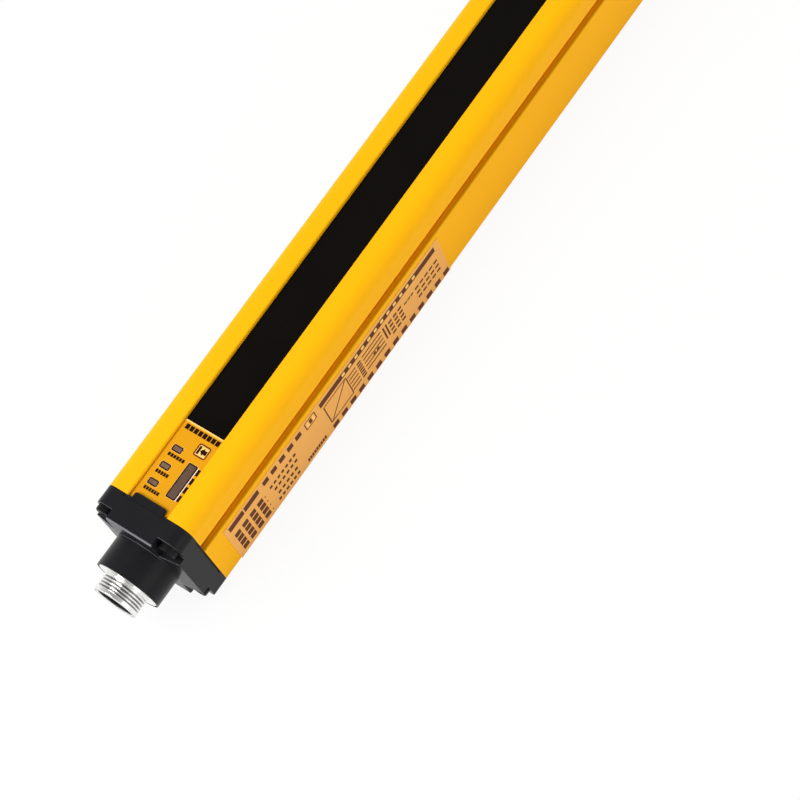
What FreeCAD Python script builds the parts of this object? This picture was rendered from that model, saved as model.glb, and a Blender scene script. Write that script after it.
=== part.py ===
import FreeCAD, Part
import os
from math import cos, pi, sin
from FreeCAD import Vector

# Receiver bar of a safety light curtain, lying on its rear face.
#
# X runs along the bar, from the connector end to the far end. The window looks up, along +Z, and
# the rear face rests on Z = 0. The bar is symmetric about Y = 0 except for the rating label, which
# is on the -Y side. All sizes are in millimetres.

# ---- extruded housing: the section across the bar
SECTION_W = 34.0         # width, along Y
SECTION_H = 40.0         # height, from the rear face to the front lands
FRONT_R = 4.8            # outer radius beside the front lands
REAR_R = 1.5             # outer radius of the rear corners
EDGE = 0.35              # broken edges of the recess and of the slot mouths
WALL = 2.0               # side and rear wall
RECESS_W = 16.0          # the window's recess between the front lands
RECESS_D = 1.5           # depth of the window's face below the lands

# ---- side T-slots that take the nuts of the mounting brackets
SLOT_Z = 26.0            # height of the slot's middle
SLOT_MOUTH = 4.0         # width of the mouth
SLOT_INNER = 7.0         # width behind the lips
SLOT_LIP = 1.8           # thickness of the lips
SLOT_DEPTH = 4.6         # depth from the side face to the slot's back
SLOT_BACK = 1.8          # wall between the slot and the inside

# ---- window, its seals, and the display panel stuck on it
WINDOW_T = 2.0
WINDOW_LAP = 1.6         # how far the window reaches under each land
WINDOW_PLAY = 0.15       # clearance at the window's edges in its groove
SEAL_W = 1.5
SEAL_T = 0.8
PANEL_T = 0.25
PANEL_L = 29.9           # length of the display panel
PANEL_START = 0.3        # from the housing's end to the panel
PANEL_PLAY = 0.2         # clearance at the panel's long edges
LAMP_L = 1.9             # indicator windows: size along the bar
LAMP_W = 3.2             # indicator windows: size across the bar
LAMP_INSET = 2.45        # indicator windows: from the recess's +Y wall
LAMP_STARTS = (7.6, 13.9, 20.4)  # middle of each indicator window, from the housing's end
GAUGE_L = 12.5           # alignment gauge window: size along the bar
GAUGE_W = 3.3
GAUGE_INSET = 2.25       # from the recess's -Y wall to the gauge window
GAUGE_START = 12.3       # middle of the gauge window, from the housing's end

# ---- rating label on the -Y side
LABEL_START = 8.3        # from the housing's end
LABEL_L = 118.0
LABEL_H = 20.8
LABEL_Z = 0.7            # height of its lower edge
LABEL_T = 0.15

# ---- beams
BEAM_COUNT = 8
BEAM_PITCH = 40.0
FIRST_BEAM = 40.0        # from the housing's end to the first beam
LAST_BEAM_END = 20.0     # from the last beam to the housing's far end

# ---- end caps
CAP_T = 10.0             # from the housing's end to the cap's outer face
CAP_EDGE = 0.5           # chamfer round the outer face
GASKET_T = 0.8
GASKET_INSET = 0.35      # how far the gasket stays back from the section's outline
GASKET_PLAY = 0.1        # clearance to the caps' corner pads
GASKET_WEB = 2.0         # width left between its opening and the ends of its long bar
PAD_WALL = 1.4           # wall round the screws in the corner pads, which stop the gasket's squeeze
NOTCH_START = 6.5        # from the housing's end to the floor of the corner notches
NOTCH_Y = 7.7            # size of a corner notch along Y
NOTCH_Z = 8.0            # size of a corner notch along Z
CAP_DROP = 0.9           # how much the cap thins towards its long sides
CAP_FLAT = 20.0          # width of the flat part of its outer face
TONGUE_SIDE = 1.7        # from each recess wall to the tongue that holds the display panel down
TONGUE_L = 2.2
TONGUE_T = 1.0
TONGUE_R = 0.8
POCKET_R = 10.1          # pocket inside the caps: its radius, or half its width where it is square
UPPER_FLOOR = 3.0        # floor left under the upper cap's pocket

# ---- cap screws
SCREW_INSET = 4.2        # from the section's faces to each screw's axis
SCREW_R = 1.95
SCREW_L = 18.0           # under the head
SCREW_PLAY = 0.05        # clearance in the housing's screw channel
SCREW_HOLE_PLAY = 0.25   # clearance in the cap
SCREW_WALL = 1.5         # wall round a rear screw channel
HEAD_R = 3.2
HEAD_H = 2.2

# ---- round boss and connector on the lower cap
BOSS_R = 11.65
BOSS_END = 21.2          # from the housing's end to the boss's end face
BOSS_WALL_END = 17.6     # inner face of the boss's end wall
FLANGE_R = 11.0
FLANGE_T = 1.2
FLANGE_PLAY = 0.15
THREAD_R = 8.0
CONNECTOR_END = 28.0     # from the housing's end to the connector's rim
BARREL_R = 7.5           # inside the boss
BARREL_START = 13.5
BARREL_PLAY = 0.15
SHELL_BORE_R = 6.6
RING_T = 0.8             # flat seal under the flange
NUT_FLATS = 17.0         # across the hexagon
NUT_T = 2.2
INSERT_START = 14.0
INSERT_END = 22.4
INSERT_PLAY = 0.1
PIN_COUNT = 5
PIN_CIRCLE = 4.1
PIN_R = 0.75
PIN_PLAY = 0.05
PIN_START = 11.5
PIN_END = 26.4

# ---- optics and electronics inside
BOARD_Z = 19.4           # underside of the main board
BOARD_T = 1.6
BOARD_GRIP = 0.8         # how deep the board's edges sit in the housing's rails
BOARD_PLAY = 0.2
BOARD_MARGIN = 3.0       # from each housing end to the board
RAIL_T = 1.6             # rail under the board
CARRIER_MARGIN = 1.0     # from each housing end to the optics carrier
CARRIER_PLAY = 0.3       # clearance to the housing
CARRIER_WALL = 1.2
DECK_T = 3.3             # deck that holds the lenses
DECK_GAP = 1.2           # from the deck's top to the window
CHAMBER_LEDGE = 2.05     # width of the ledge that the window's seal lies on
SHOULDER = 4.2           # from the ledge down to where the housing's chamber widens
LENS_L = 15.0            # lens: size along the bar
LENS_W = 12.0            # lens: size across the bar
LENS_T = 2.9             # thickness in the middle
LENS_CURVE = 16.0        # radius of its curved face
LENS_PLAY = 0.1
SEAT_DEPTH = 2.3         # from the deck's top to the lens seat
SEAT_SHOULDER = 0.6      # width of the lens seat
TUBE_WALL = 1.0          # wall of the light shaft under each lens
TUBE_LIFT = 1.3          # from the board to the foot of the light shaft
TUBE_FOOT = 6.0          # inner width of the shaft at that foot
DIODE_L = 5.4            # photodiode: size along the bar
DIODE_W = 4.6
DIODE_BODY = 0.9         # height of its straight body
DIODE_BEVEL = 0.5        # height and width of the bevel on top of the body
DISPLAY_L = 31.0         # part of the carrier that holds the display board
DISPLAY_DECK = 1.5
DISPLAY_BOARD_T = 1.0
DISPLAY_BOARD_START = 2.0
DISPLAY_BOARD_L = 28.0
LED_L = 1.25
LED_W = 2.0
LED_T = 0.8
SEGMENTS = 4             # light-emitting segments behind the gauge window
CHIP = 10.0
CHIP_T = 1.5
CHIP_START = 60.0        # from the housing's end to the controller's middle
HEADER_L = 6.0
HEADER_W = 12.0
HEADER_T = 7.0
HEADER_START = 5.0       # from the housing's end to the header

# ---- places that follow from the sizes above
HOUSING_L = FIRST_BEAM + (BEAM_COUNT - 1) * BEAM_PITCH + LAST_BEAM_END
TOTAL_L = CONNECTOR_END + HOUSING_L + CAP_T
LOW_X = CONNECTOR_END - TOTAL_L / 2      # the housing's end at the connector
HIGH_X = LOW_X + HOUSING_L               # the housing's far end
HALF_W = SECTION_W / 2
AXIS_Z = SECTION_H / 2                   # height of the boss and the connector
PAD = SCREW_INSET + SCREW_R + SCREW_HOLE_PLAY + PAD_WALL    # side of a corner pad
POCKET_HALF_Z = AXIS_Z - PAD - GASKET_PLAY - GASKET_WEB
WINDOW_TOP = SECTION_H - RECESS_D
LEDGE_Z = WINDOW_TOP - WINDOW_T - SEAL_T
SHOULDER_Z = LEDGE_Z - SHOULDER
PANEL_TOP = WINDOW_TOP + PANEL_T
WINDOW_HALF = RECESS_W / 2 + WINDOW_LAP
GROOVE_HALF = WINDOW_HALF + WINDOW_PLAY
LAMP_Y = RECESS_W / 2 - LAMP_INSET - LAMP_W / 2
GAUGE_Y = GAUGE_INSET + GAUGE_W / 2 - RECESS_W / 2
TONGUE_HALF = RECESS_W / 2 - TONGUE_SIDE
LIGHT_HALF = GROOVE_HALF - CHAMBER_LEDGE         # half width of the light chamber
MIDDLE_HALF = HALF_W - SLOT_DEPTH - SLOT_BACK    # half width of the chamber between the slots
REAR_HALF = HALF_W - WALL                        # half width of the rear chamber
REAR_TOP = BOARD_Z - RAIL_T
BOARD_TOP = BOARD_Z + BOARD_T
DECK_TOP = WINDOW_TOP - WINDOW_T - DECK_GAP
DECK_Z = DECK_TOP - DECK_T
SEAT_Z = DECK_TOP - SEAT_DEPTH
DISPLAY_Z = SHOULDER_Z - CARRIER_PLAY            # top of the carrier under the display board
SCREW_SPOTS = [(y, z)
               for y in (SCREW_INSET - HALF_W, HALF_W - SCREW_INSET)
               for z in (SCREW_INSET, SECTION_H - SCREW_INSET)]
ALONG = Vector(1, 0, 0)


# ---- shape helpers

def box(x0, x1, y0, y1, z0, z1):
    return Part.makeBox(x1 - x0, y1 - y0, z1 - z0, Vector(x0, y0, z0))


def strip(x0, x1, half, z0, z1):
    """A box that is centred on Y = 0."""
    return box(x0, x1, -half, half, z0, z1)


def rod(x0, x1, radius, y=0.0, z=AXIS_Z):
    return Part.makeCylinder(radius, x1 - x0, Vector(x0, y, z), ALONG)


def rounded_wire(points, radii, place):
    """A closed outline with square corners and an arc at each; place() gives points in space."""
    edges = []
    ends = []
    count = len(points)
    for i in range(count):
        corner = Vector(*points[i], 0)
        before = (Vector(*points[i - 1], 0) - corner).normalize() * radii[i]
        after = (Vector(*points[(i + 1) % count], 0) - corner).normalize() * radii[i]
        middle = corner + (before + after) * (1 - 0.5 ** 0.5)
        ends.append((place(corner + before), place(corner + after)))
        edges.append(Part.Arc(ends[i][0], place(middle), ends[i][1]).toShape())
    for i in range(count):
        edges.append(Part.makeLine(ends[i][1], ends[(i + 1) % count][0]))
    return Part.Wire(Part.__sortEdges__(edges))


def section_wire(x, inset=0.0):
    """The outline of the bar's section at x, drawn in by inset."""
    half = HALF_W - inset
    low, high = inset, SECTION_H - inset
    points = [(-half, low), (half, low), (half, high), (-half, high)]
    rear, front = REAR_R - inset, FRONT_R - inset
    return rounded_wire(points, [rear, rear, front, front], lambda v: Vector(x, v.x, v.y))


def section_prism(x0, x1, inset=0.0):
    return Part.Face(section_wire(x0, inset)).extrude(Vector(x1 - x0, 0, 0))


def plate(x0, x1, y0, y1, z0, z1, radius):
    """A flat rectangular plate whose corners are rounded as seen from above."""
    points = [(x0, y0), (x1, y0), (x1, y1), (x0, y1)]
    wire = rounded_wire(points, [radius] * 4, lambda v: Vector(v.x, v.y, z0))
    return Part.Face(wire).extrude(Vector(0, 0, z1 - z0))


def turned(profile):
    """A solid turned about the bar's axis; the profile is a list of (x, radius)."""
    points = [Vector(x, 0, AXIS_Z + r) for x, r in profile]
    face = Part.Face(Part.makePolygon(points + points[:1]))
    return face.revolve(Vector(0, 0, AXIS_Z), ALONG, 360)


def frustum(x, z0, z1, low, high):
    """A four-sided block round (x, 0) that tapers upwards; low and high are its (length, width)."""
    (l0, w0), (l1, w1) = [(length / 2, width / 2) for length, width in (low, high)]
    block = Part.makeWedge(-l0, z0, -w0, -w1, -l1, l0, z1, w0, w1, l1)
    block.rotate(Vector(0, 0, 0), ALONG, 90)
    block.translate(Vector(x, 0, 0))
    return block


def cut(shape, tools):
    return shape.cut(Part.makeCompound(tools)).removeSplitter()


def long_edges(shape, spots):
    """The edges along X that pass through the given (y, z) spots."""
    found = []
    for edge in shape.Edges:
        a, b = edge.Vertexes[0].Point, edge.Vertexes[-1].Point
        if abs(a.x - b.x) < 1 or abs(a.y - b.y) + abs(a.z - b.z) > 1e-6:
            continue
        if any(abs(a.y - y) + abs(a.z - z) < 1e-4 for y, z in spots):
            found.append(edge)
    return found


def low_end(shape):
    """Puts a piece, modelled outwards along +X from a housing end at 0, on the connector end."""
    moved = shape.mirror(Vector(0, 0, 0), ALONG)
    moved.translate(Vector(LOW_X, 0, 0))
    return moved


def high_end(shape):
    """Puts such a piece on the far end."""
    moved = shape.copy()
    moved.translate(Vector(HIGH_X, 0, 0))
    return moved


# ---- housing

def slot_cutters(x0, x1):
    cutters = []
    for side in (-1, 1):
        mouth = sorted((side * (HALF_W + 1), side * (HALF_W - SLOT_DEPTH)))
        inner = sorted((side * (HALF_W - SLOT_LIP), side * (HALF_W - SLOT_DEPTH)))
        cutters.append(box(x0, x1, *mouth, SLOT_Z - SLOT_MOUTH / 2, SLOT_Z + SLOT_MOUTH / 2))
        cutters.append(box(x0, x1, *inner, SLOT_Z - SLOT_INNER / 2, SLOT_Z + SLOT_INNER / 2))
    return cutters


def screw_blocks(x0, x1):
    """The solid rear corners that hold the screw channels."""
    reach = SCREW_INSET + SCREW_R + SCREW_WALL
    return [box(x0, x1, *sorted((side * (HALF_W - reach), side * HALF_W)), 0, reach)
            for side in (-1, 1)]


def housing():
    """The extruded section: window groove, three chambers, T-slots and screw channels."""
    x0, x1 = LOW_X, HIGH_X
    rear_chamber = cut(strip(x0, x1, REAR_HALF, WALL, REAR_TOP), screw_blocks(x0, x1))
    cutters = [
        rear_chamber,
        strip(x0, x1, MIDDLE_HALF, REAR_TOP - WALL, SHOULDER_Z),
        strip(x0, x1, MIDDLE_HALF + BOARD_GRIP, BOARD_Z, BOARD_TOP + BOARD_PLAY),
        strip(x0, x1, LIGHT_HALF, SHOULDER_Z - WALL, LEDGE_Z + WALL),
        strip(x0, x1, GROOVE_HALF, LEDGE_Z, WINDOW_TOP),
        strip(x0, x1, RECESS_W / 2, LEDGE_Z, SECTION_H + 1),
    ]
    cutters += slot_cutters(x0, x1)
    cutters += [rod(x0, x1, SCREW_R + SCREW_PLAY, y, z) for y, z in SCREW_SPOTS]
    body = cut(section_prism(x0, x1), cutters)
    mouths = [(side * HALF_W, SLOT_Z + end * SLOT_MOUTH / 2) for side in (-1, 1) for end in (-1, 1)]
    lips = [(side * RECESS_W / 2, SECTION_H) for side in (-1, 1)]
    return body.makeChamfer(EDGE, long_edges(body, mouths + lips))


# ---- window and display

def front_window():
    return strip(LOW_X, HIGH_X, WINDOW_HALF, WINDOW_TOP - WINDOW_T, WINDOW_TOP)


def window_seal(side):
    outer = side * (WINDOW_HALF - WINDOW_PLAY)
    inner = side * (WINDOW_HALF - WINDOW_PLAY - SEAL_W)
    return box(LOW_X, HIGH_X, *sorted((outer, inner)), LEDGE_Z, LEDGE_Z + SEAL_T)


def display_openings():
    """Name and box (start, end, y0, y1) of each translucent window in the display panel."""
    spots = [("indicator_lens_%d" % (i + 1), LOW_X + at, LAMP_Y, LAMP_L, LAMP_W)
             for i, at in enumerate(LAMP_STARTS)]
    spots.append(("alignment_lens", LOW_X + GAUGE_START, GAUGE_Y, GAUGE_L, GAUGE_W))
    return [(name, x - length / 2, x + length / 2, y - width / 2, y + width / 2)
            for name, x, y, length, width in spots]


def indicator_panel():
    half = RECESS_W / 2 - PANEL_PLAY
    start = LOW_X + PANEL_START
    film = strip(start, start + PANEL_L, half, WINDOW_TOP, PANEL_TOP)
    return cut(film, [box(*spot, WINDOW_TOP, PANEL_TOP) for _, *spot in display_openings()])


def rating_label():
    x0 = LOW_X + LABEL_START
    return box(x0, x0 + LABEL_L, -HALF_W - LABEL_T, -HALF_W, LABEL_Z, LABEL_Z + LABEL_H)


# ---- end caps, modelled outwards along +X from the housing's end at X = 0

def corner_notches():
    notches = []
    for side in (-1, 1):
        for z0, z1 in ((-1, NOTCH_Z), (SECTION_H - NOTCH_Z, SECTION_H + 1)):
            y = sorted((side * (HALF_W - NOTCH_Y), side * (HALF_W + 1)))
            notches.append(box(NOTCH_START, CAP_T + 1, *y, z0, z1))
    return notches


def cap_slopes():
    """Wedges that thin the cap's outer face towards its two long sides."""
    wedges = []
    for side in (-1, 1):
        reach = HALF_W + 1
        drop = CAP_DROP * (reach - CAP_FLAT / 2) / (HALF_W - CAP_FLAT / 2)
        points = [Vector(CAP_T, side * CAP_FLAT / 2, -1),
                  Vector(CAP_T - drop, side * reach, -1),
                  Vector(CAP_T + 1, side * reach, -1),
                  Vector(CAP_T + 1, side * CAP_FLAT / 2, -1)]
        face = Part.Face(Part.makePolygon(points + points[:1]))
        wedges.append(face.extrude(Vector(0, 0, SECTION_H + 2)))
    return wedges


def gasket_cross(half, play):
    """The two bars that make up the gasket's cross, between the corner pads."""
    low = HALF_W - half
    return [strip(0, GASKET_T, half, PAD + play, SECTION_H - PAD - play),
            strip(0, GASKET_T, HALF_W - PAD - play, low, SECTION_H - low)]


def cap_block():
    """The plate that follows the housing's outline, with corner pads and a chamfered face."""
    straight = section_prism(0, CAP_T - CAP_EDGE)
    chamfer = Part.makeLoft([section_wire(CAP_T - CAP_EDGE), section_wire(CAP_T, CAP_EDGE)],
                            True, True)
    block = straight.fuse(chamfer).removeSplitter()
    return cut(block, corner_notches() + cap_slopes() + gasket_cross(HALF_W, 0))


def tongue():
    """A tab that reaches back over the display panel."""
    return plate(-TONGUE_L, GASKET_T + 1, -TONGUE_HALF, TONGUE_HALF,
                 PANEL_TOP, PANEL_TOP + TONGUE_T, TONGUE_R)


def screw_holes():
    return [rod(0, NOTCH_START, SCREW_R + SCREW_HOLE_PLAY, y, z) for y, z in SCREW_SPOTS]


def square_pocket(depth):
    """The pocket of the upper cap, which the opening in both gaskets matches."""
    return strip(0, depth, POCKET_R, AXIS_Z - POCKET_HALF_Z, AXIS_Z + POCKET_HALF_Z)


def lower_end_cap():
    """The cap with the hollow round boss that carries the connector."""
    boss = rod(CAP_T - CAP_DROP - 1, BOSS_END, BOSS_R)
    body = cap_block().fuse(boss).fuse(tongue()).removeSplitter()
    return cut(body, screw_holes() + [
        rod(GASKET_T, BOSS_WALL_END, POCKET_R),
        rod(BOSS_WALL_END, BOSS_END, BARREL_R + BARREL_PLAY),
        rod(BOSS_END - FLANGE_T - RING_T, BOSS_END, FLANGE_R + FLANGE_PLAY)])


def upper_end_cap():
    body = cap_block().fuse(tongue()).removeSplitter()
    return cut(body, screw_holes() + [square_pocket(CAP_T - UPPER_FLOOR)])


def end_gasket():
    bars = gasket_cross(HALF_W - GASKET_INSET, GASKET_PLAY)
    under_tongue = strip(0, GASKET_T, TONGUE_HALF, PANEL_TOP, SECTION_H)
    return cut(bars[0].fuse(bars[1]), [square_pocket(GASKET_T), under_tongue])


def cap_screw(y, z):
    """A cheese-head screw whose head sits on the floor of a corner notch."""
    shank = rod(NOTCH_START - SCREW_L, NOTCH_START, SCREW_R, y, z)
    return shank.fuse(rod(NOTCH_START, NOTCH_START + HEAD_H, HEAD_R, y, z))


# ---- connector, modelled outwards along +X like the caps

def connector_shell():
    seat = BOSS_END - FLANGE_T
    return turned([(BARREL_START, SHELL_BORE_R), (BARREL_START, BARREL_R), (seat, BARREL_R),
                   (seat, FLANGE_R), (BOSS_END, FLANGE_R), (BOSS_END, THREAD_R),
                   (CONNECTOR_END, THREAD_R), (CONNECTOR_END, SHELL_BORE_R)])


def connector_ring():
    seat = BOSS_END - FLANGE_T
    return rod(seat - RING_T, seat, FLANGE_R).cut(rod(seat - RING_T, seat, BARREL_R))


def connector_nut():
    """A thin hexagon nut that clamps the shell against the boss's end wall."""
    start = BOSS_WALL_END - NUT_T
    corner_r = NUT_FLATS / 3 ** 0.5
    points = [Vector(start, corner_r * cos(i * pi / 3), AXIS_Z + corner_r * sin(i * pi / 3))
              for i in range(6)]
    body = Part.Face(Part.makePolygon(points + points[:1])).extrude(Vector(NUT_T, 0, 0))
    return body.cut(rod(start, BOSS_WALL_END, BARREL_R))


def pin_spots():
    angles = [(i + 0.5) * 2 * pi / PIN_COUNT for i in range(PIN_COUNT)]
    return [(PIN_CIRCLE * cos(a), AXIS_Z + PIN_CIRCLE * sin(a)) for a in angles]


def connector_insert():
    body = rod(INSERT_START, INSERT_END, SHELL_BORE_R - INSERT_PLAY)
    return cut(body, [rod(INSERT_START, INSERT_END, PIN_R + PIN_PLAY, y, z) for y, z in pin_spots()])


def connector_pin(y, z):
    return rod(PIN_START, PIN_END, PIN_R, y, z)


# ---- optics and electronics

def beam_places():
    return [LOW_X + FIRST_BEAM + i * BEAM_PITCH for i in range(BEAM_COUNT)]


def light_shaft(x):
    """The tapered shaft between a lens and its photodiode, as (solid, bore)."""
    foot = BOARD_TOP + TUBE_LIFT
    wide = (LENS_L - 2 * SEAT_SHOULDER, LENS_W - 2 * SEAT_SHOULDER)
    outer = frustum(x, foot, SEAT_Z, (TUBE_FOOT + 2 * TUBE_WALL,) * 2,
                    (wide[0] + 2 * TUBE_WALL, wide[1] + 2 * TUBE_WALL))
    bore = frustum(x, foot, SEAT_Z, (TUBE_FOOT, TUBE_FOOT), wide)
    return outer, bore


def optics_carrier():
    """A thin-walled moulding: side walls, a lens deck, cross walls and the light shafts."""
    x0, x1 = LOW_X + CARRIER_MARGIN, HIGH_X - CARRIER_MARGIN
    split = LOW_X + DISPLAY_L
    wide, narrow = MIDDLE_HALF - CARRIER_PLAY, LIGHT_HALF - CARRIER_PLAY
    shell = strip(x0, x1, wide, BOARD_TOP, DISPLAY_Z).fuse(
        strip(split, x1, narrow, DISPLAY_Z, DECK_TOP)).removeSplitter()
    walls = CARRIER_WALL
    hollow = [strip(x0 + walls, split - walls, wide - walls, BOARD_TOP, DISPLAY_Z - DISPLAY_DECK),
              strip(split, x1 - walls, wide - walls, BOARD_TOP, DISPLAY_Z - walls),
              strip(split, x1 - walls, narrow - walls, BOARD_TOP, DECK_Z)]
    shell = cut(shell, hollow)
    places = beam_places()
    shafts = [light_shaft(x) for x in places]
    ribs = [strip(x + (BEAM_PITCH - walls) / 2, x + (BEAM_PITCH + walls) / 2, narrow,
                  BOARD_TOP + TUBE_LIFT, DECK_TOP) for x in places[:-1]]
    body = shell.multiFuse([outer for outer, _ in shafts] + ribs).removeSplitter()
    half_l = LENS_L / 2 + LENS_PLAY
    seats = [strip(x - half_l, x + half_l, LENS_W / 2 + LENS_PLAY, SEAT_Z, DECK_TOP) for x in places]
    return cut(body, [bore for _, bore in shafts] + seats)


def lens(x):
    """A plano-convex lens: a block whose top is part of a cylinder across the bar."""
    top = SEAT_Z + LENS_T
    block = strip(x - LENS_L / 2, x + LENS_L / 2, LENS_W / 2, SEAT_Z, top)
    curve = Part.makeCylinder(LENS_CURVE, LENS_W, Vector(x, -LENS_W / 2, top - LENS_CURVE),
                              Vector(0, 1, 0))
    return block.common(curve)


def photodiode(x):
    """A flat photodiode with a bevelled window, on the main board under its lens."""
    body_top = BOARD_TOP + DIODE_BODY
    body = strip(x - DIODE_L / 2, x + DIODE_L / 2, DIODE_W / 2, BOARD_TOP, body_top)
    window = frustum(x, body_top, body_top + DIODE_BEVEL, (DIODE_L, DIODE_W),
                     (DIODE_L - 2 * DIODE_BEVEL, DIODE_W - 2 * DIODE_BEVEL))
    return body.fuse(window)


def main_board():
    half = MIDDLE_HALF + BOARD_GRIP - BOARD_PLAY
    return strip(LOW_X + BOARD_MARGIN, HIGH_X - BOARD_MARGIN, half, BOARD_Z, BOARD_TOP)


def display_board():
    half = LIGHT_HALF - CARRIER_PLAY
    start = LOW_X + DISPLAY_BOARD_START
    return strip(start, start + DISPLAY_BOARD_L, half, DISPLAY_Z, DISPLAY_Z + DISPLAY_BOARD_T)


def led(x, y):
    z = DISPLAY_Z + DISPLAY_BOARD_T
    return box(x - LED_L / 2, x + LED_L / 2, y - LED_W / 2, y + LED_W / 2, z, z + LED_T)


def controller_chip():
    x = LOW_X + CHIP_START
    return strip(x - CHIP / 2, x + CHIP / 2, CHIP / 2, BOARD_Z - CHIP_T, BOARD_Z)


def board_header():
    x = LOW_X + HEADER_START
    return strip(x, x + HEADER_L, HEADER_W / 2, BOARD_Z - HEADER_T, BOARD_Z)


# ---- the whole bar

def nodes():
    """Every piece by its node name."""
    pieces = {
        "housing": housing(),
        "front_window": front_window(),
        "window_seal_left": window_seal(1),
        "window_seal_right": window_seal(-1),
        "indicator_panel": indicator_panel(),
        "rating_label": rating_label(),
        "lower_end_cap": low_end(lower_end_cap()),
        "upper_end_cap": high_end(upper_end_cap()),
        "lower_gasket": low_end(end_gasket()),
        "upper_gasket": high_end(end_gasket()),
        "connector_shell": low_end(connector_shell()),
        "connector_ring": low_end(connector_ring()),
        "connector_nut": low_end(connector_nut()),
        "connector_insert": low_end(connector_insert()),
        "optics_carrier": optics_carrier(),
        "main_board": main_board(),
        "display_board": display_board(),
        "controller_chip": controller_chip(),
        "board_header": board_header(),
    }
    for name, *spot in display_openings():
        pieces[name] = box(*spot, WINDOW_TOP, PANEL_TOP)
    for i, (y, z) in enumerate(SCREW_SPOTS, 1):
        pieces["lower_screw_%d" % i] = low_end(cap_screw(y, z))
        pieces["upper_screw_%d" % i] = high_end(cap_screw(y, z))
    for i, (y, z) in enumerate(pin_spots(), 1):
        pieces["connector_pin_%d" % i] = low_end(connector_pin(y, z))
    for i, at in enumerate(LAMP_STARTS, 1):
        pieces["status_led_%d" % i] = led(LOW_X + at, LAMP_Y)
    for i in range(SEGMENTS):
        at = GAUGE_START + GAUGE_L * ((i + 0.5) / SEGMENTS - 0.5)
        pieces["gauge_led_%d" % (i + 1)] = led(LOW_X + at, GAUGE_Y)
    for i, x in enumerate(beam_places(), 1):
        pieces["lens_%d" % i] = lens(x)
        pieces["photodiode_%d" % i] = photodiode(x)
    return pieces


def main():
    os.makedirs("parts", exist_ok=True)
    for name, shape in nodes().items():
        shape.exportStep("parts/%s.step" % name)


main()
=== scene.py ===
"""The look of a safety light curtain's receiver bar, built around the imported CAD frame."""
from math import cos, pi, radians, sin

import bmesh
import bpy
from mathutils import Matrix, Vector


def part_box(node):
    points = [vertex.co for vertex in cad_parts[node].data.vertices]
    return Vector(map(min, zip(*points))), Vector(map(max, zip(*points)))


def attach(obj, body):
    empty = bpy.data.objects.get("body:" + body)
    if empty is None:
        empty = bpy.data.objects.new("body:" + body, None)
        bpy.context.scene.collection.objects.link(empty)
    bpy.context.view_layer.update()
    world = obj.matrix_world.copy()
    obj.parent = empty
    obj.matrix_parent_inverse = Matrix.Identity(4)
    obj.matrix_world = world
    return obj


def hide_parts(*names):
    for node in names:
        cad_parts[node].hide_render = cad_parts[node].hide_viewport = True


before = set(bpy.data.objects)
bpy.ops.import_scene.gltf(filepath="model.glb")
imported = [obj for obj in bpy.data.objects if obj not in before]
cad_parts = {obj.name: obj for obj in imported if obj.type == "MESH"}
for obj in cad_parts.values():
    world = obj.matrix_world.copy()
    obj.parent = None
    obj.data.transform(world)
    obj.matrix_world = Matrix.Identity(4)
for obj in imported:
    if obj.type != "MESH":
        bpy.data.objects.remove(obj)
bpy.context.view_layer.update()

MM = 0.001                                         # a millimetre in metres
HOUSING_LOW, HOUSING_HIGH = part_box("housing")
SHELL_LOW, SHELL_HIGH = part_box("connector_shell")
PANEL_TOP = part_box("indicator_panel")[1].z
LABEL_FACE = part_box("rating_label")[0].y
BOSS_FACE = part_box("lower_end_cap")[0].x           # the end of the lower cap's boss
INSERT_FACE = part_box("connector_insert")[0].x      # the insert's face in the connector
END = HOUSING_LOW.x                                # the housing's end at the connector
AXIS_Z = (HOUSING_LOW.z + HOUSING_HIGH.z) / 2      # height of the connector's axis
CREST_R = 8.0 * MM                                 # the thread's outer radius
BORE_R = 6.6 * MM                                  # the connector shell's bore
ROOT_UNSHADED = 0.26 * MM                             # depth of thread that stays bright, without painted shade
ROOT_FADE = 0.15 * MM                              # from there to the full dark of the roots
ROOT_DARK = 0.75                                   # how dark the painted shade in the roots gets
BORE_MARGIN = 0.3 * MM                             # outside the bore, still without painted shade
SLOT_MOUTH_Z = 26.0 * MM                           # middle of the side slots' mouths
SLOT_MOUTH_HALF = 2.3 * MM
SLOT_PAINTED_SHADE = (                                     # painted shade in the side slots: depth of the start, way to full tone, tone
    (0.0, 0.1 * MM, (0.74, 0.34, 0.002)),
    (0.5 * MM, MM, (0.95, 0.46, 0.003)),
)


# ---- materials

BEVEL_SAMPLES = 6
EDGE_HIGHLIGHT_GAIN = 2.4                                     # widens the painted highlights along the caps' edges


def math(nodes, links, operation, one, other):
    """A Math node; each input is a socket or a number."""
    node = nodes.new("ShaderNodeMath")
    node.operation = operation
    for socket, value in zip(node.inputs, (one, other)):
        if isinstance(value, float):
            socket.default_value = value
        else:
            links.new(value, socket)
    return node.outputs["Value"]


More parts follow.
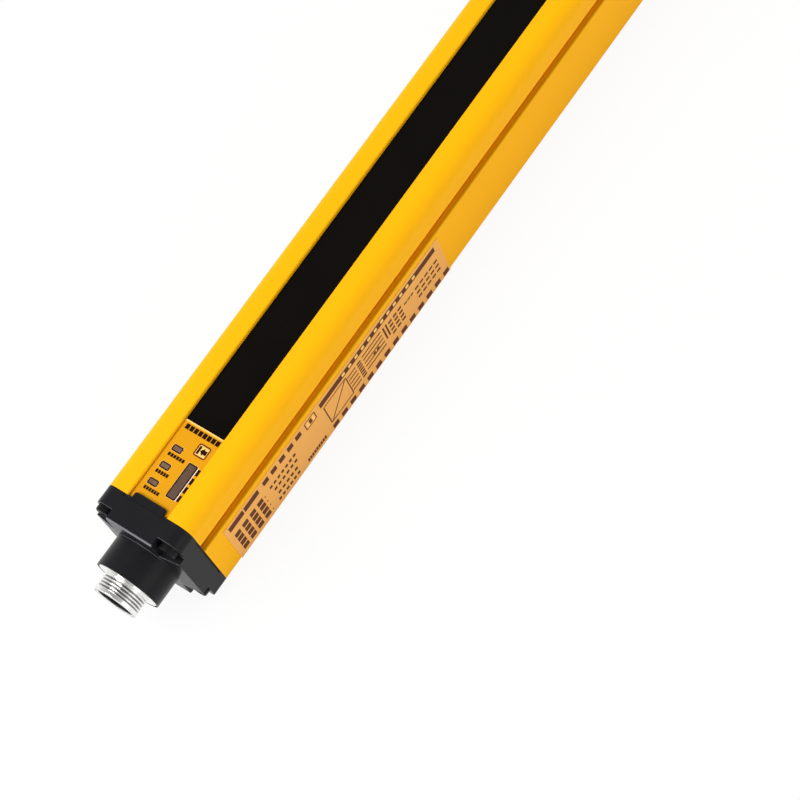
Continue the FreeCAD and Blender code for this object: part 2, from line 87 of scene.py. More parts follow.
class Paint:
    """A Principled material and the short cuts to build its nodes."""

    def __init__(self, name):
        self.mat = bpy.data.materials.new(name)
        self.mat.use_nodes = True
        self.nodes = self.mat.node_tree.nodes
        self.links = self.mat.node_tree.links
        self.shader = self.nodes["Principled BSDF"]
        self.place = self.nodes.new("ShaderNodeTexCoord").outputs["Object"]

    def set(self, **values):
        """Constants for the shader's sockets, with _ for a space in a socket's name."""
        for key, value in values.items():
            self.shader.inputs[key.replace("_", " ")].default_value = value
        return self

    def noise(self, scale, detail, stretch=(1, 1, 1)):
        """Noise with about `scale` grains a metre, stretched along the axes."""
        mapping = self.nodes.new("ShaderNodeMapping")
        mapping.inputs["Scale"].default_value = stretch
        self.links.new(self.place, mapping.inputs["Vector"])
        node = self.nodes.new("ShaderNodeTexNoise")
        node.inputs["Scale"].default_value = scale
        node.inputs["Detail"].default_value = detail
        self.links.new(mapping.outputs["Vector"], node.inputs["Vector"])
        return node.outputs["Fac"]

    def math(self, operation, one, other=0.0):
        """A Math node in this material."""
        return math(self.nodes, self.links, operation, one, other)

    def unit(self, value):
        """A value kept between 0 and 1."""
        return self.math("MINIMUM", self.math("MAXIMUM", value, 0.0), 1.0)

    def tint(self, factor, colour):
        """Mixes another colour over the base colour where the factor is high."""
        mix = self.nodes.new("ShaderNodeMix")
        mix.data_type = "RGBA"
        socket = self.shader.inputs["Base Color"]
        self.links.new(factor, mix.inputs["Factor"])
        self.links.new(socket.links[0].from_socket, mix.inputs["A"])
        mix.inputs["B"].default_value = (*colour, 1)
        self.links.new(mix.outputs["Result"], socket)

    def split(self, vector):
        """The X, Y and Z of a vector."""
        node = self.nodes.new("ShaderNodeSeparateXYZ")
        self.links.new(vector, node.inputs["Vector"])
        return node.outputs

    def ramp(self, factor, stops):
        """The base colour, from stops along a factor."""
        node = self.nodes.new("ShaderNodeValToRGB")
        elements = node.color_ramp.elements
        while len(elements) < len(stops):
            elements.new(0.5)
        for element, (at, colour) in zip(elements, stops):
            element.position = at
            element.color = (*colour, 1)
        self.links.new(factor, node.inputs["Fac"])
        self.links.new(node.outputs["Color"], self.shader.inputs["Base Color"])

    def rough(self, factor, low, high):
        """The roughness, between low and high along a factor."""
        node = self.nodes.new("ShaderNodeMapRange")
        node.inputs["To Min"].default_value = low
        node.inputs["To Max"].default_value = high
        self.links.new(factor, node.inputs["Value"])
        self.links.new(node.outputs["Result"], self.shader.inputs["Roughness"])
        return self

    def rounded(self, radius):
        """The normal, with the edges rounded by a radius."""
        node = self.nodes.new("ShaderNodeBevel")
        node.samples = BEVEL_SAMPLES
        node.inputs["Radius"].default_value = radius
        return node.outputs["Normal"]

    def relief(self, height, strength, distance, edge=0.0):
        """A bump, with rounded edges under it where edge is a radius."""
        bump = self.nodes.new("ShaderNodeBump")
        bump.inputs["Strength"].default_value = strength
        bump.inputs["Distance"].default_value = distance
        self.links.new(height, bump.inputs["Height"])
        if edge:
            self.links.new(self.rounded(edge), bump.inputs["Normal"])
        self.links.new(bump.outputs["Normal"], self.shader.inputs["Normal"])
        return self


def yellow_coat():
    """Satin powder coat with a faint orange peel; painted shade makes it browner inside the side
    slots.
    """
    paint = Paint("yellow_coat").set(Specular_IOR_Level=0.05)
    paint.ramp(paint.noise(14, 2), [(0.3, (0.945, 0.449, 0.003)), (0.7, (0.96, 0.461, 0.004))])
    spot = paint.split(paint.place)
    # painted shade: in the side slots' mouths the coat is darkened just inside the side face, then
    # brought back to its plain tone deeper in
    depth = paint.math("SUBTRACT", HOUSING_HIGH.y, paint.math("ABSOLUTE", spot["Y"]))
    offset = paint.math("ABSOLUTE", paint.math("SUBTRACT", spot["Z"], SLOT_MOUTH_Z))
    within = paint.math("LESS_THAN", offset, SLOT_MOUTH_HALF)
    for start, length, tone in SLOT_PAINTED_SHADE:
        part = paint.unit(paint.math("DIVIDE", paint.math("SUBTRACT", depth, start), length))
        paint.tint(paint.math("MULTIPLY", part, within), tone)
    paint.rough(paint.noise(900, 2), 0.42, 0.52)
    return paint.relief(paint.noise(1500, 2), 0.1, 0.03 * MM).mat


def window_black():
    """Glossy dark filter plastic."""
    paint = Paint("window_black").set(Roughness=0.12, Specular_IOR_Level=0.06)
    paint.ramp(paint.noise(60, 2),
               [(0.3, (0.0034, 0.0026, 0.0018)), (0.7, (0.0042, 0.0033, 0.0024))])
    return paint.relief(paint.noise(25, 2), 0.05, 0.1 * MM).mat


def film(name, tone, rough):
    """Printed polyester film with a fine, soft grain."""
    paint = Paint(name).set(Specular_IOR_Level=0.12)
    dark = tuple(0.96 * c for c in tone)
    paint.ramp(paint.noise(60, 2), [(0.3, dark), (0.7, tone)])
    paint.rough(paint.noise(700, 2), rough - 0.05, rough + 0.05)
    return paint.relief(paint.noise(2200, 2), 0.08, 0.02 * MM).mat


def moulded(name, tone, rough, edge=0.25 * MM, specular=0.12):
    """Black moulded plastic with a fine spark-eroded grain."""
    paint = moulded_paint(name, tone, rough, specular)
    return paint.relief(paint.noise(2600, 3), 0.25, 0.03 * MM, edge).mat


def moulded_paint(name, tone, rough, specular):
    """The colour and roughness of moulded plastic, before its relief."""
    paint = Paint(name).set(Specular_IOR_Level=specular)
    dark = tuple(0.85 * c for c in tone)
    paint.ramp(paint.noise(90, 3), [(0.3, dark), (0.7, tone)])
    return paint.rough(paint.noise(1200, 3), rough - 0.06, rough + 0.06)


def cap_plastic():
    """The caps' plastic, with a painted highlight of lighter grey along the front edges of their
    end faces.
    """
    paint = moulded_paint("cap_black", (0.012, 0.012, 0.0135), 0.3, 0.1)
    # painted highlight: lighter grey where the rounded normal faces outwards along the bar and up,
    # where the lamp's glint falls
    normal = paint.split(paint.rounded(0.3 * MM))
    side = paint.math("SIGN", paint.split(paint.place)["X"])
    outwards = paint.math("MULTIPLY", side, normal["X"])
    across = paint.math("MULTIPLY", paint.unit(outwards), paint.unit(normal["Z"]))
    edge = paint.unit(paint.math("MULTIPLY", across, EDGE_HIGHLIGHT_GAIN))
    paint.tint(paint.math("MULTIPLY", edge, edge), (0.168, 0.160, 0.180))
    return paint.relief(paint.noise(2600, 3), 0.2, 0.03 * MM, 0.15 * MM).mat


def rubber():
    return moulded("seal_rubber", (0.014, 0.013, 0.013), 0.75, 0.1 * MM, 0.2)


def nickel():
    """Bright nickel plate, with painted shade darkening the roots of the thread."""
    paint = Paint("nickel").set(Metallic=1.0)
    paint.ramp(paint.noise(400, 3), [(0.3, (0.84, 0.835, 0.82)), (0.7, (0.92, 0.915, 0.90))])
    spot = paint.split(paint.place)
    # painted shade: the thread's roots are darkened by their distance from the axis, outside the
    # bore
    height = paint.math("SUBTRACT", spot["Z"], AXIS_Z)
    squares = paint.math("ADD", paint.math("MULTIPLY", height, height),
                         paint.math("MULTIPLY", spot["Y"], spot["Y"]))
    reach = paint.math("SQRT", squares)
    depth = paint.math("DIVIDE", paint.math("SUBTRACT", CREST_R - ROOT_UNSHADED, reach), ROOT_FADE)
    root = paint.math("MULTIPLY", paint.unit(depth), ROOT_DARK)
    outside = paint.math("GREATER_THAN", reach, BORE_R + BORE_MARGIN)
    paint.tint(paint.math("MULTIPLY", root, outside), (0.05, 0.045, 0.04))
    paint.rough(paint.noise(900, 3), 0.14, 0.24)
    return paint.relief(paint.noise(3000, 2, (6, 1, 1)), 0.06, 0.02 * MM).mat


def brass():
    paint = Paint("pin_brass").set(Metallic=1.0)
    paint.ramp(paint.noise(500, 2), [(0.3, (0.80, 0.56, 0.22)), (0.7, (0.9, 0.68, 0.3))])
    paint.rough(paint.noise(900, 2), 0.18, 0.3)
    return paint.relief(paint.noise(2500, 2), 0.05, 0.02 * MM).mat


def black_steel():
    paint = Paint("screw_black").set(Specular_IOR_Level=0.12)
    paint.ramp(paint.noise(300, 3), [(0.3, (0.003, 0.003, 0.0035)), (0.7, (0.007, 0.007, 0.0075))])
    paint.rough(paint.noise(800, 3), 0.36, 0.5)
    return paint.relief(paint.noise(2500, 2), 0.15, 0.02 * MM, 0.1 * MM).mat


def lamp_grey(name, level):
    """A grey window, warm and a little uneven from what lies behind it; level scales its tones."""
    paint = Paint(name).set(Specular_IOR_Level=0.3)
    tones = [(0.25, (0.085, 0.062, 0.05)), (0.5, (0.17, 0.092, 0.056)),
             (0.75, (0.125, 0.105, 0.10))]
    stops = [(at, tuple(level * c for c in tone)) for at, tone in tones]
    paint.ramp(paint.noise(420, 2), stops)
    paint.rough(paint.noise(900, 2), 0.25, 0.35)
    return paint.relief(paint.noise(1500, 2), 0.05, 0.02 * MM).mat


def board_green():
    paint = Paint("board_green").set(Specular_IOR_Level=0.5)
    paint.ramp(paint.noise(200, 3), [(0.3, (0.01, 0.10, 0.03)), (0.7, (0.015, 0.14, 0.045))])
    paint.rough(paint.noise(600, 2), 0.25, 0.35)
    return paint.relief(paint.noise(900, 2), 0.1, 0.03 * MM).mat


def clear_lens():
    paint = Paint("lens_clear").set(Transmission_Weight=0.9, IOR=1.49)
    paint.ramp(paint.noise(200, 2), [(0.3, (0.9, 0.9, 0.92)), (0.7, (0.96, 0.96, 0.97))])
    paint.rough(paint.noise(500, 2), 0.02, 0.06)
    return paint.relief(paint.noise(300, 2), 0.03, 0.02 * MM).mat


def led_white():
    paint = Paint("led_white").set(Specular_IOR_Level=0.4)
    paint.ramp(paint.noise(900, 2), [(0.3, (0.62, 0.6, 0.5)), (0.7, (0.74, 0.73, 0.66))])
    paint.rough(paint.noise(900, 2), 0.35, 0.45)
    return paint.relief(paint.noise(2500, 2), 0.05, 0.02 * MM).mat


def ink(name, tone):
    """Matt printing ink, a little uneven."""
    paint = Paint(name).set(Specular_IOR_Level=0.04)
    light = tuple(min(1.0, 1.15 * c) for c in tone)
    paint.ramp(paint.noise(600, 3), [(0.3, tone), (0.7, light)])
    paint.rough(paint.noise(900, 2), 0.4, 0.5)
    return paint.relief(paint.noise(2500, 2), 0.05, 0.01 * MM).mat


YELLOW = yellow_coat()
BLACK = cap_plastic()
NICKEL = nickel()
INSERT_BLACK = moulded("insert_black", (0.006, 0.006, 0.006), 0.5)
RUBBER = rubber()
LAMP = lamp_grey("lamp_grey", 1.1)
GAUGE = lamp_grey("gauge_grey", 0.68)
BOARD = board_green()
LENS = clear_lens()
LED = led_white()
SCREW = black_steel()
BRASS = brass()
DARK_INK = ink("dark_ink", (0.020, 0.005, 0.003))
BROWN_INK = ink("brown_ink", (0.115, 0.034, 0.014))
ICON_INK = ink("icon_ink", (0.16, 0.04, 0.006))
PALE_INK = ink("pale_ink", (0.88, 0.54, 0.155))
WHITE_INK = ink("white_ink", (0.90, 0.80, 0.70))

NODE_LOOKS = [
    ("housing", YELLOW),
    ("front_window", window_black()),
    ("window_seal", RUBBER),
    ("lower_gasket", RUBBER),
    ("upper_gasket", RUBBER),
    ("connector_ring", RUBBER),
    ("indicator_panel", film("panel_film", (0.73, 0.322, 0.003), 0.4)),
    ("indicator_lens", LAMP),
    ("alignment_lens", GAUGE),
    ("rating_label", film("label_film", (0.87, 0.42, 0.092), 0.45)),
    ("lower_end_cap", BLACK),
    ("upper_end_cap", BLACK),
    ("connector_nut", NICKEL),
    ("connector_insert", INSERT_BLACK),
    ("connector_pin", BRASS),
    ("lower_screw", SCREW),
    ("upper_screw", SCREW),
    ("lens_", LENS),
    ("photodiode", moulded("diode_dark", (0.02, 0.006, 0.016), 0.15, 0.05 * MM)),
    ("optics_carrier", moulded("carrier_black", (0.012, 0.012, 0.012), 0.6)),
    ("main_board", BOARD),
    ("display_board", BOARD),
    ("status_led", LED),
    ("gauge_led", LED),
    ("controller_chip", moulded("chip_black", (0.016, 0.016, 0.016), 0.5, 0.1 * MM)),
    ("board_header", moulded("header_black", (0.014, 0.014, 0.014), 0.5, 0.1 * MM)),
]


def dress_nodes():
    """Gives each CAD node the first look whose start its name has."""
    for name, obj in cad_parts.items():
        for start, look in NODE_LOOKS:
            if name.startswith(start):
                obj.data.materials.clear()
                obj.data.materials.append(look)
                break


# ---- pieces

def add_mesh(name, mesh_builder, look):
    """Makes a piece from a bmesh, gives it its look and lets it ride on the bar."""
    bm = bmesh.new()
    mesh_builder(bm)
    bmesh.ops.recalc_face_normals(bm, faces=bm.faces)
    mesh = bpy.data.meshes.new(name)
    bm.to_mesh(mesh)
    bm.free()
    obj = bpy.data.objects.new(name, mesh)
    bpy.context.scene.collection.objects.link(obj)
    mesh.materials.append(look)
    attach(obj, "root")
    return obj


def prism(bm, outline, place, thickness):
    """A thin closed plate on a surface; place(s, t, height) turns outline points into space."""
    low = [bm.verts.new(place(s, t, 0.0)) for s, t in outline]
    high = [bm.verts.new(place(s, t, thickness)) for s, t in outline]
    bm.faces.new(low)
    bm.faces.new(high)
    count = len(outline)
    for i in range(count):
        j = (i + 1) % count
        bm.faces.new([low[i], low[j], high[j], high[i]])


# ---- the threaded shell of the connector

THREAD_PITCH = 1.1 * MM
THREAD_DEPTH = 0.5 * MM
THREAD_START = 0.4 * MM       # plain length at the flange
NOSE = 1.2 * MM               # plain nose at the rim
NOSE_CHAMFER = 0.3 * MM
BARREL_R = 7.5 * MM
FLANGE_T = 1.2 * MM
SHELL_EDGE = 0.25 * MM        # chamfers of the flange and the bore
PITCH_STEPS = 12              # points along one pitch
TURN_STEPS = 96

SLEEVE_SETBACK = 0.5 * MM     # from the shell's rim
SLEEVE_GAP = 0.05 * MM
SLEEVE_BORE_R = 5.9 * MM
SLEEVE_CHAMFER = 0.2 * MM
SLEEVE_STEPS = 64


def thread_radius(along, length, turn):
    """The outside radius at a distance from the rim and at a part of a turn."""
    phase = (along / THREAD_PITCH + turn) % 1.0
    groove = 0.5 + 0.5 * cos(2 * pi * phase)
    fade = min(1.0, max(0.0, (along - NOSE) / (0.5 * THREAD_PITCH)))
    fade *= min(1.0, max(0.0, (length - THREAD_START - along) / (0.5 * THREAD_PITCH)))
    return CREST_R - THREAD_DEPTH * groove * fade - max(0.0, NOSE_CHAMFER - along)


def turned(bm, count, outline):
    """A closed ring about the bar's axis; outline(turn) gives its (x, radius) points."""
    rings = []
    for step in range(count):
        angle = 2 * pi * step / count
        rings.append([bm.verts.new((x, r * cos(angle), AXIS_Z + r * sin(angle)))
                      for x, r in outline(step / count)])
    points = len(rings[0])
    for a in range(count):
        b = (a + 1) % count
        for i in range(points):
            j = (i + 1) % points
            bm.faces.new([rings[a][i], rings[a][j], rings[b][j], rings[b][i]])


def thread_shell(bm):
    """The CAD shell's profile turned, with a helical thread cut into its outside."""
    rim, back = SHELL_LOW.x, SHELL_HIGH.x
    face = BOSS_FACE
    length = face - rim
    flange_r = (SHELL_HIGH.y - SHELL_LOW.y) / 2
    edge = SHELL_EDGE
    steps = round(length / THREAD_PITCH) * PITCH_STEPS

    def outline(turn):
        spots = [length * i / steps for i in range(steps + 1)]
        points = [(rim + along, thread_radius(along, length, turn)) for along in spots]
        flange = [(face, flange_r - edge), (face + edge, flange_r), (face + FLANGE_T, flange_r)]
        return points + flange + [(face + FLANGE_T, BARREL_R), (back, BARREL_R), (back, BORE_R),
                                  (rim + edge, BORE_R), (rim, BORE_R + edge)]

    turned(bm, TURN_STEPS, outline)


def bore_liner(bm):
    """The insulating sleeve that lines the shell's bore from the insert to near the rim."""
    start, end = SHELL_LOW.x + SLEEVE_SETBACK, INSERT_FACE
    outer, inner = BORE_R - SLEEVE_GAP, SLEEVE_BORE_R
    outline = [(start, outer), (end, outer), (end, inner),
               (start + SLEEVE_CHAMFER, inner), (start, inner + SLEEVE_CHAMFER)]
    turned(bm, SLEEVE_STEPS, lambda turn: outline)


# ---- cap screws

SCREW_STEPS = 48
SHANK_R = 1.95 * MM
HEAD_HEIGHT = 2.2 * MM
HEAD_CHAMFER = 0.35 * MM
TIP_R = 0.6 * SHANK_R
TIP_TAPER = 0.4 * SHANK_R     # length of the taper at the shank's tip
SOCKET_FLATS = 3.0 * MM
SOCKET_DEPTH = 1.5 * MM


def hexagon_r(angle):
    """The radius of the socket's hexagon at an angle."""
    from_flat = angle % (pi / 3) - pi / 6
    return SOCKET_FLATS / 2 / cos(from_flat)


def cap_screw(bm, node):
    """A socket screw in the place of its CAD node: chamfered head, hexagon socket, shank."""
    low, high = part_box(node)
    y, z = (low.y + high.y) / 2, (low.z + high.z) / 2
    outward = -1 if low.x < 0 else 1
    top = low.x if outward < 0 else high.x
    tip = high.x if outward < 0 else low.x
    head_r = (high.y - low.y) / 2
    seat = top - outward * HEAD_HEIGHT
    deep = top - outward * SOCKET_DEPTH
    rows = [(tip, TIP_R), (tip + outward * TIP_TAPER, SHANK_R), (seat, SHANK_R), (seat, head_r),
            (top - outward * HEAD_CHAMFER, head_r), (top, head_r - HEAD_CHAMFER),
            (top, None), (deep, None)]         # None: the socket's hexagon
    rings = []
    for x, r in rows:
        ring = []
        for step in range(SCREW_STEPS):
            angle = 2 * pi * step / SCREW_STEPS
            reach = hexagon_r(angle) if r is None else r
            ring.append(bm.verts.new((x, y + reach * cos(angle), z + reach * sin(angle))))
        rings.append(ring)
    for one, other in zip(rings, rings[1:]):
        for i in range(SCREW_STEPS):
            j = (i + 1) % SCREW_STEPS
            bm.faces.new([one[i], one[j], other[j], other[i]])
    bm.faces.new(rings[0])
    bm.faces.new(rings[-1])


# ---- what is printed on the display panel and on the rating label

INK = 0.03 * MM               # height of a printed plate from its underside
INK_UNDER = 0.6 * INK         # the icon's pale field, under its marks
INK_OVER = 1.5 * INK          # the pale windows on the label's dark band
PRINT_SINK = 0.005 * MM       # how deep the undersides lie in the film


def on_panel(s, t, height):
    """s: distance from the housing's end; t: to the -Y side; both in millimetres."""
    return Vector((END + s * MM, -t * MM, PANEL_TOP + height - PRINT_SINK))


def on_label(s, t, height):
    """s: distance from the housing's end; t: height on the side face; both in millimetres."""
    return Vector((END + s * MM, LABEL_FACE - height + PRINT_SINK, t * MM))


def rectangle(s0, s1, t0, t1, radius=0.0):
    """The corners of a rectangle, rounded by a radius."""
    if not radius:
        return [(s0, t0), (s1, t0), (s1, t1), (s0, t1)]
    points = []
    for cs, ct, start in ((s1 - radius, t1 - radius, 0), (s0 + radius, t1 - radius, 90),
                          (s0 + radius, t0 + radius, 180), (s1 - radius, t0 + radius, 270)):
        for k in range(CORNER_STEPS + 1):
            angle = radians(start + 90 * k / CORNER_STEPS)
            points.append((cs + radius * cos(angle), ct + radius * sin(angle)))
    return points


def border(bm, place, s0, s1, t0, t1, width, radius):
    """A printed frame of one width round a rectangle."""
    inner = rectangle(s0, s1, t0, t1, radius)
    outer = rectangle(s0 - width, s1 + width, t0 - width, t1 + width, radius + width)
    rows = [[bm.verts.new(place(s, t, h)) for s, t in line]
            for line, h in ((inner, 0), (outer, 0), (outer, INK), (inner, INK))]
    count = len(inner)
    for i in range(count):
        j = (i + 1) % count
        for row in range(4):
            a, b = rows[row], rows[(row + 1) % 4]
            bm.faces.new([a[i], a[j], b[j], b[i]])


def panel_spot(node):
    """The box of a node of the display panel as s0, s1, t0, t1 in millimetres."""
    low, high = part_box(node)
    return (low.x - END) / MM, (high.x - END) / MM, -high.y / MM, -low.y / MM


LAMP_NODES = ["indicator_lens_1", "indicator_lens_2", "indicator_lens_3"]
LINE = 0.42                                 # width of the printed outlines
WORD_START = -5.8                           # where the blocks under each lamp window start
WORD_ENDS = (0.45, -0.65, 0.9)              # and where they end
WORD_PITCH = 1.1                            # about one block and its gap
CORNER_STEPS = 4


def row(s0, s1, t0, t1, count, fill):
    """Equal blocks in a row along the bar; fill is a block's share of its pitch."""
    pitch = (s1 - s0) / count
    return [(s0 + pitch * i, s0 + pitch * (i + fill), t0, t1) for i in range(count)]


def column(s0, s1, t0, t1, count, fill):
    """Equal blocks in a row across the bar."""
    return [(s0, s1, a, b) for a, b, _, _ in row(t0, t1, 0, 0, count, fill)]


def plates(bm, place, boxes, height=INK):
    """A printed plate for each box of s0, s1, t0, t1 in millimetres."""
    for box in boxes:
        prism(bm, rectangle(*box), place, height)


def panel_pale(bm):
    """Fine pale borders, the field of the icon and a pale line by the window."""
    for node in LAMP_NODES:
        s0, s1, t0, t1 = panel_spot(node)
        border(bm, on_panel, s0 - 0.14, s1 + 0.14, t0 - 0.24, t1 + 0.24, 0.15, 0.1)
    s0, s1, t0, t1 = panel_spot("alignment_lens")
    border(bm, on_panel, s0 - 0.14, s1 + 0.14, t0 - 0.14, t1 + 0.1, 0.15, 0.1)
    plates(bm, on_panel, [(21.8, 25.4, 1.7, 5.6)], INK_UNDER)
    end = panel_spot("indicator_panel")[1]
    plates(bm, on_panel, [(end - 0.55, end - 0.02, -7.75, 7.75)])


def panel_white(bm):
    """The white line beside the gauge window."""
    s0, s1, _, t1 = panel_spot("alignment_lens")
    plates(bm, on_panel, [(s0 - 0.1, s1 + 0.1, t1 + 0.2, t1 + 0.5)])


def panel_brown(bm):
    """The frame of the icon."""
    border(bm, on_panel, 21.85, 25.35, 1.75, 5.55, 0.5, 0.3)


def panel_dark(bm):
    """Dark outlines of the windows, blocks in place of words, the icon and the gauge's marks."""
    for node, end in zip(LAMP_NODES, WORD_ENDS):
        s0, s1, t0, t1 = panel_spot(node)
        border(bm, on_panel, s0 + 0.2, s1 - 0.2, t0 + 0.1, t1 - 0.1, LINE, 0.1)
        count = round((end - WORD_START) / WORD_PITCH)
        plates(bm, on_panel, column(s0 - 2.15, s0 - 0.95, WORD_START, end, count, 0.82))
    s0, s1, t0, t1 = panel_spot("alignment_lens")
    border(bm, on_panel, s0 + 0.2, s1 - 0.2, t0 + 0.2, t1 - 0.2, LINE, 0.1)
    plates(bm, on_panel, row(s0 + 0.1, s1 + 0.7, t1 + 0.65, t1 + 1.6, 4, 0.7))
    plates(bm, on_panel, column(27.3, 29.1, -6.5, 7.5, 8, 0.84))
    plates(bm, on_panel, [(22.15, 25.05, 1.95, 2.8)])
    arrow = [(23.6, 2.9), (25.0, 4.2), (24.35, 4.2), (24.35, 5.4), (22.85, 5.4), (22.85, 4.2),
             (22.2, 4.2)]
    prism(bm, arrow, on_panel, INK)


def label_dark(bm):
    """Plain blocks, rules and boxes where the label carries its data and its drawing."""
    marks = row(10.3, 26.4, 17.5, 20.2, 2, 0.93)
    for line in range(4):
        low = 11.9 - 3.05 * line
        marks += row(10.8, 26.8, low, low + 2.35, 4, 0.68)
    marks += [(26.35, 26.9, low, low + 0.6) for low in (12.4, 9.4, 6.4, 3.1)]
    marks += row(28.4, 50.6, 17.5, 20.0, 5, 0.63)
    marks += row(29.6, 44.3, 12.7, 14.0, 7, 0.6) + row(30.7, 43.8, 9.5, 10.8, 6, 0.6)
    marks += row(31.2, 42.4, 6.0, 7.3, 5, 0.62) + row(30.1, 42.4, 2.9, 4.2, 6, 0.6)
    marks += row(45.9, 56.2, 2.1, 3.7, 9, 0.8) + [(53.4, 54.7, 16.9, 19.3)]
    marks += [(59.3, 123.6, 17.4, 20.0)]
    marks += [(72.9, 77.4, 6.0 + 2.1 * k, 6.6 + 2.1 * k) for k in range(5)]
    marks += column(78.2, 80.2, 5.6, 15.7, 7, 0.62)
    marks += [(81.1, 91.6, 6.4 + 2.1 * k, 7.0 + 2.1 * k) for k in range(5)]
    marks += row(85.4, 89.4, 9.2, 10.2, 2, 0.7)
    marks += [(92.6, 93.3, 8.2, 15.2), (94.1, 94.8, 8.2, 15.2)]
    for line in range(4):
        low = 6.6 + 2.25 * line
        marks += row(95.6, 103.6, low, low + 1.1, 3, 0.7)
    marks += row(104.2, 109.6, 12.3, 13.1, 3, 0.8)
    for low in (12.2, 9.5, 6.9):
        marks += row(110.4, 123.6, low, low + 1.0, 5, 0.72)
    marks += row(59.85, 127.6, 1.2, 3.5, 14, 0.6)
    plates(bm, on_label, marks)
    border(bm, on_label, 51.6, 56.4, 16.4, 19.8, 0.4, 0.1)
    border(bm, on_label, 60.5, 72.2, 5.5, 15.7, 0.45, 0.1)
    prism(bm, [(60.5, 5.5), (61.2, 5.5), (72.2, 15.7), (71.5, 15.7)], on_label, INK)


def label_pale(bm):
    """Pale windows in the label's dark band, and the small box's two pale blocks."""
    marks = row(71.6, 114.6, 18.0, 19.4, 12, 0.42)
    marks += [(52.1, 53.1, 16.9, 19.3), (55.0, 56.0, 16.9, 19.3)]
    plates(bm, on_label, marks, INK_OVER)


def build_pieces():
    """The pieces that stand for CAD nodes, the sleeve in the bore and the printing."""
    shell = add_mesh("connector_thread", thread_shell, NICKEL)
    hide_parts("connector_shell")
    add_mesh("connector_sleeve", bore_liner, INSERT_BLACK)
    for end in ("lower", "upper"):
        for i in range(1, 5):
            node = "%s_screw_%d" % (end, i)
            screw = add_mesh(node + "_detail", lambda bm: cap_screw(bm, node), SCREW)
            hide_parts(node)
    add_mesh("panel_print_pale", panel_pale, PALE_INK)
    add_mesh("panel_print_white", panel_white, WHITE_INK)
    add_mesh("panel_print_brown", panel_brown, ICON_INK)
    add_mesh("panel_print_dark", panel_dark, DARK_INK)
    add_mesh("label_print_dark", label_dark, BROWN_INK)
    add_mesh("label_print_pale", label_pale, PALE_INK)


# ---- camera, light and floor

CAMERA_FROM = Vector((-0.1084, -0.3722, 0.7051))   # from the housing's end, on the floor
LOOK = Vector((0.2326, 0.4250, -0.8748))
IMAGE_UP = Vector((0.7910, 0.4406, 0.4244))
SENSOR_MM = 36.0
LENS_MM = 112.41
CLIP_START = 0.01
LAMP_AIM = Vector((-0.05, 0, 0))


def camera():
    """The camera, turned so that the bar runs up and to the right."""
    data = bpy.data.cameras.new("camera")
    data.sensor_width = SENSOR_MM
    data.lens = LENS_MM
    data.clip_start = CLIP_START
    cam = bpy.data.objects.new("camera", data)
    bpy.context.scene.collection.objects.link(cam)
    back = -LOOK.normalized()
    right = IMAGE_UP.cross(back).normalized()
    up = back.cross(right)
    turn = Matrix((right, up, back)).transposed().to_4x4()
    turn.translation = Vector((END, 0, 0)) + CAMERA_FROM
    cam.matrix_world = turn
    bpy.context.scene.camera = cam


def lamp(name, place, size, watts):
    """A square area lamp that faces the bar."""
    data = bpy.data.lights.new(name, "AREA")
    data.shape = "SQUARE"
    data.size = size
    data.energy = watts
    obj = bpy.data.objects.new(name, data)
    bpy.context.scene.collection.objects.link(obj)
    obj.location = place
    obj.rotation_euler = (LAMP_AIM - Vector(place)).to_track_quat("-Z", "Y").to_euler()


HORIZON = 1.0                # the sky's level there and overhead
ZENITH = 0.35
FLOOR_HALF = 6.0             # half the floor's width
FLOOR_TONE = 0.85
FLOOR_ROUGH = 0.9
PLAIN_SHARE = 0.92           # how much of the floor's look is plain white


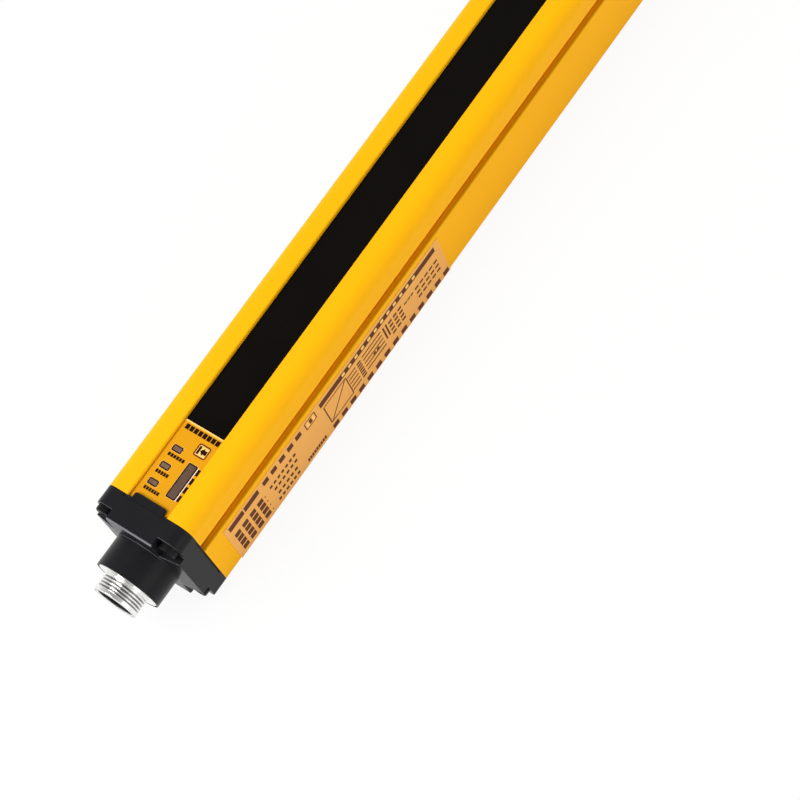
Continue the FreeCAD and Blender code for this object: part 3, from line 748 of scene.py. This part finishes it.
def studio():
    """A sky, white at the horizon, grey overhead and all white to the camera, and two lamps."""
    world = bpy.data.worlds.new("studio")
    world.use_nodes = True
    nodes, links = world.node_tree.nodes, world.node_tree.links
    split = nodes.new("ShaderNodeSeparateXYZ")
    links.new(nodes.new("ShaderNodeTexCoord").outputs["Generated"], split.inputs["Vector"])
    fade = nodes.new("ShaderNodeMapRange")
    fade.inputs["To Min"].default_value = HORIZON
    fade.inputs["To Max"].default_value = ZENITH
    links.new(split.outputs["Z"], fade.inputs["Value"])
    path = nodes.new("ShaderNodeLightPath").outputs
    seen = math(nodes, links, "ADD", path["Is Camera Ray"], path["Is Transmission Ray"])
    level = math(nodes, links, "MAXIMUM", fade.outputs["Result"], seen)
    links.new(level, nodes["Background"].inputs["Color"])
    bpy.context.scene.world = world
    lamp("key", (-1.05, 0.57, 1.48), 1.3, 31)
    lamp("fill", (-0.3, -1.6, 0.45), 1.2, 5)


def floor():
    """A white floor: mostly plain white to the camera, with a soft shadow left in it."""
    bm = bmesh.new()
    bmesh.ops.create_grid(bm, x_segments=1, y_segments=1, size=FLOOR_HALF)
    mesh = bpy.data.meshes.new("floor")
    bm.to_mesh(mesh)
    bm.free()
    obj = bpy.data.objects.new("floor", mesh)
    bpy.context.scene.collection.objects.link(obj)
    mat = bpy.data.materials.new("floor_white")
    mat.use_nodes = True
    nodes, links = mat.node_tree.nodes, mat.node_tree.links
    shader = nodes["Principled BSDF"]
    shader.inputs["Base Color"].default_value = (FLOOR_TONE, FLOOR_TONE, FLOOR_TONE, 1)
    shader.inputs["Roughness"].default_value = FLOOR_ROUGH
    shader.inputs["Specular IOR Level"].default_value = 0.0
    white = nodes.new("ShaderNodeEmission")
    blend = nodes.new("ShaderNodeMixShader")
    path = nodes.new("ShaderNodeLightPath").outputs
    seen = math(nodes, links, "ADD", path["Is Camera Ray"], path["Is Glossy Ray"])
    seen = math(nodes, links, "ADD", seen, path["Is Transmission Ray"])
    links.new(math(nodes, links, "MULTIPLY", seen, PLAIN_SHARE), blend.inputs["Fac"])
    links.new(shader.outputs["BSDF"], blend.inputs[1])
    links.new(white.outputs["Emission"], blend.inputs[2])
    links.new(blend.outputs["Shader"], nodes["Material Output"].inputs["Surface"])
    mesh.materials.append(mat)


bpy.context.scene.view_settings.view_transform = "Standard"
dress_nodes()
build_pieces()
camera()
studio()
floor()
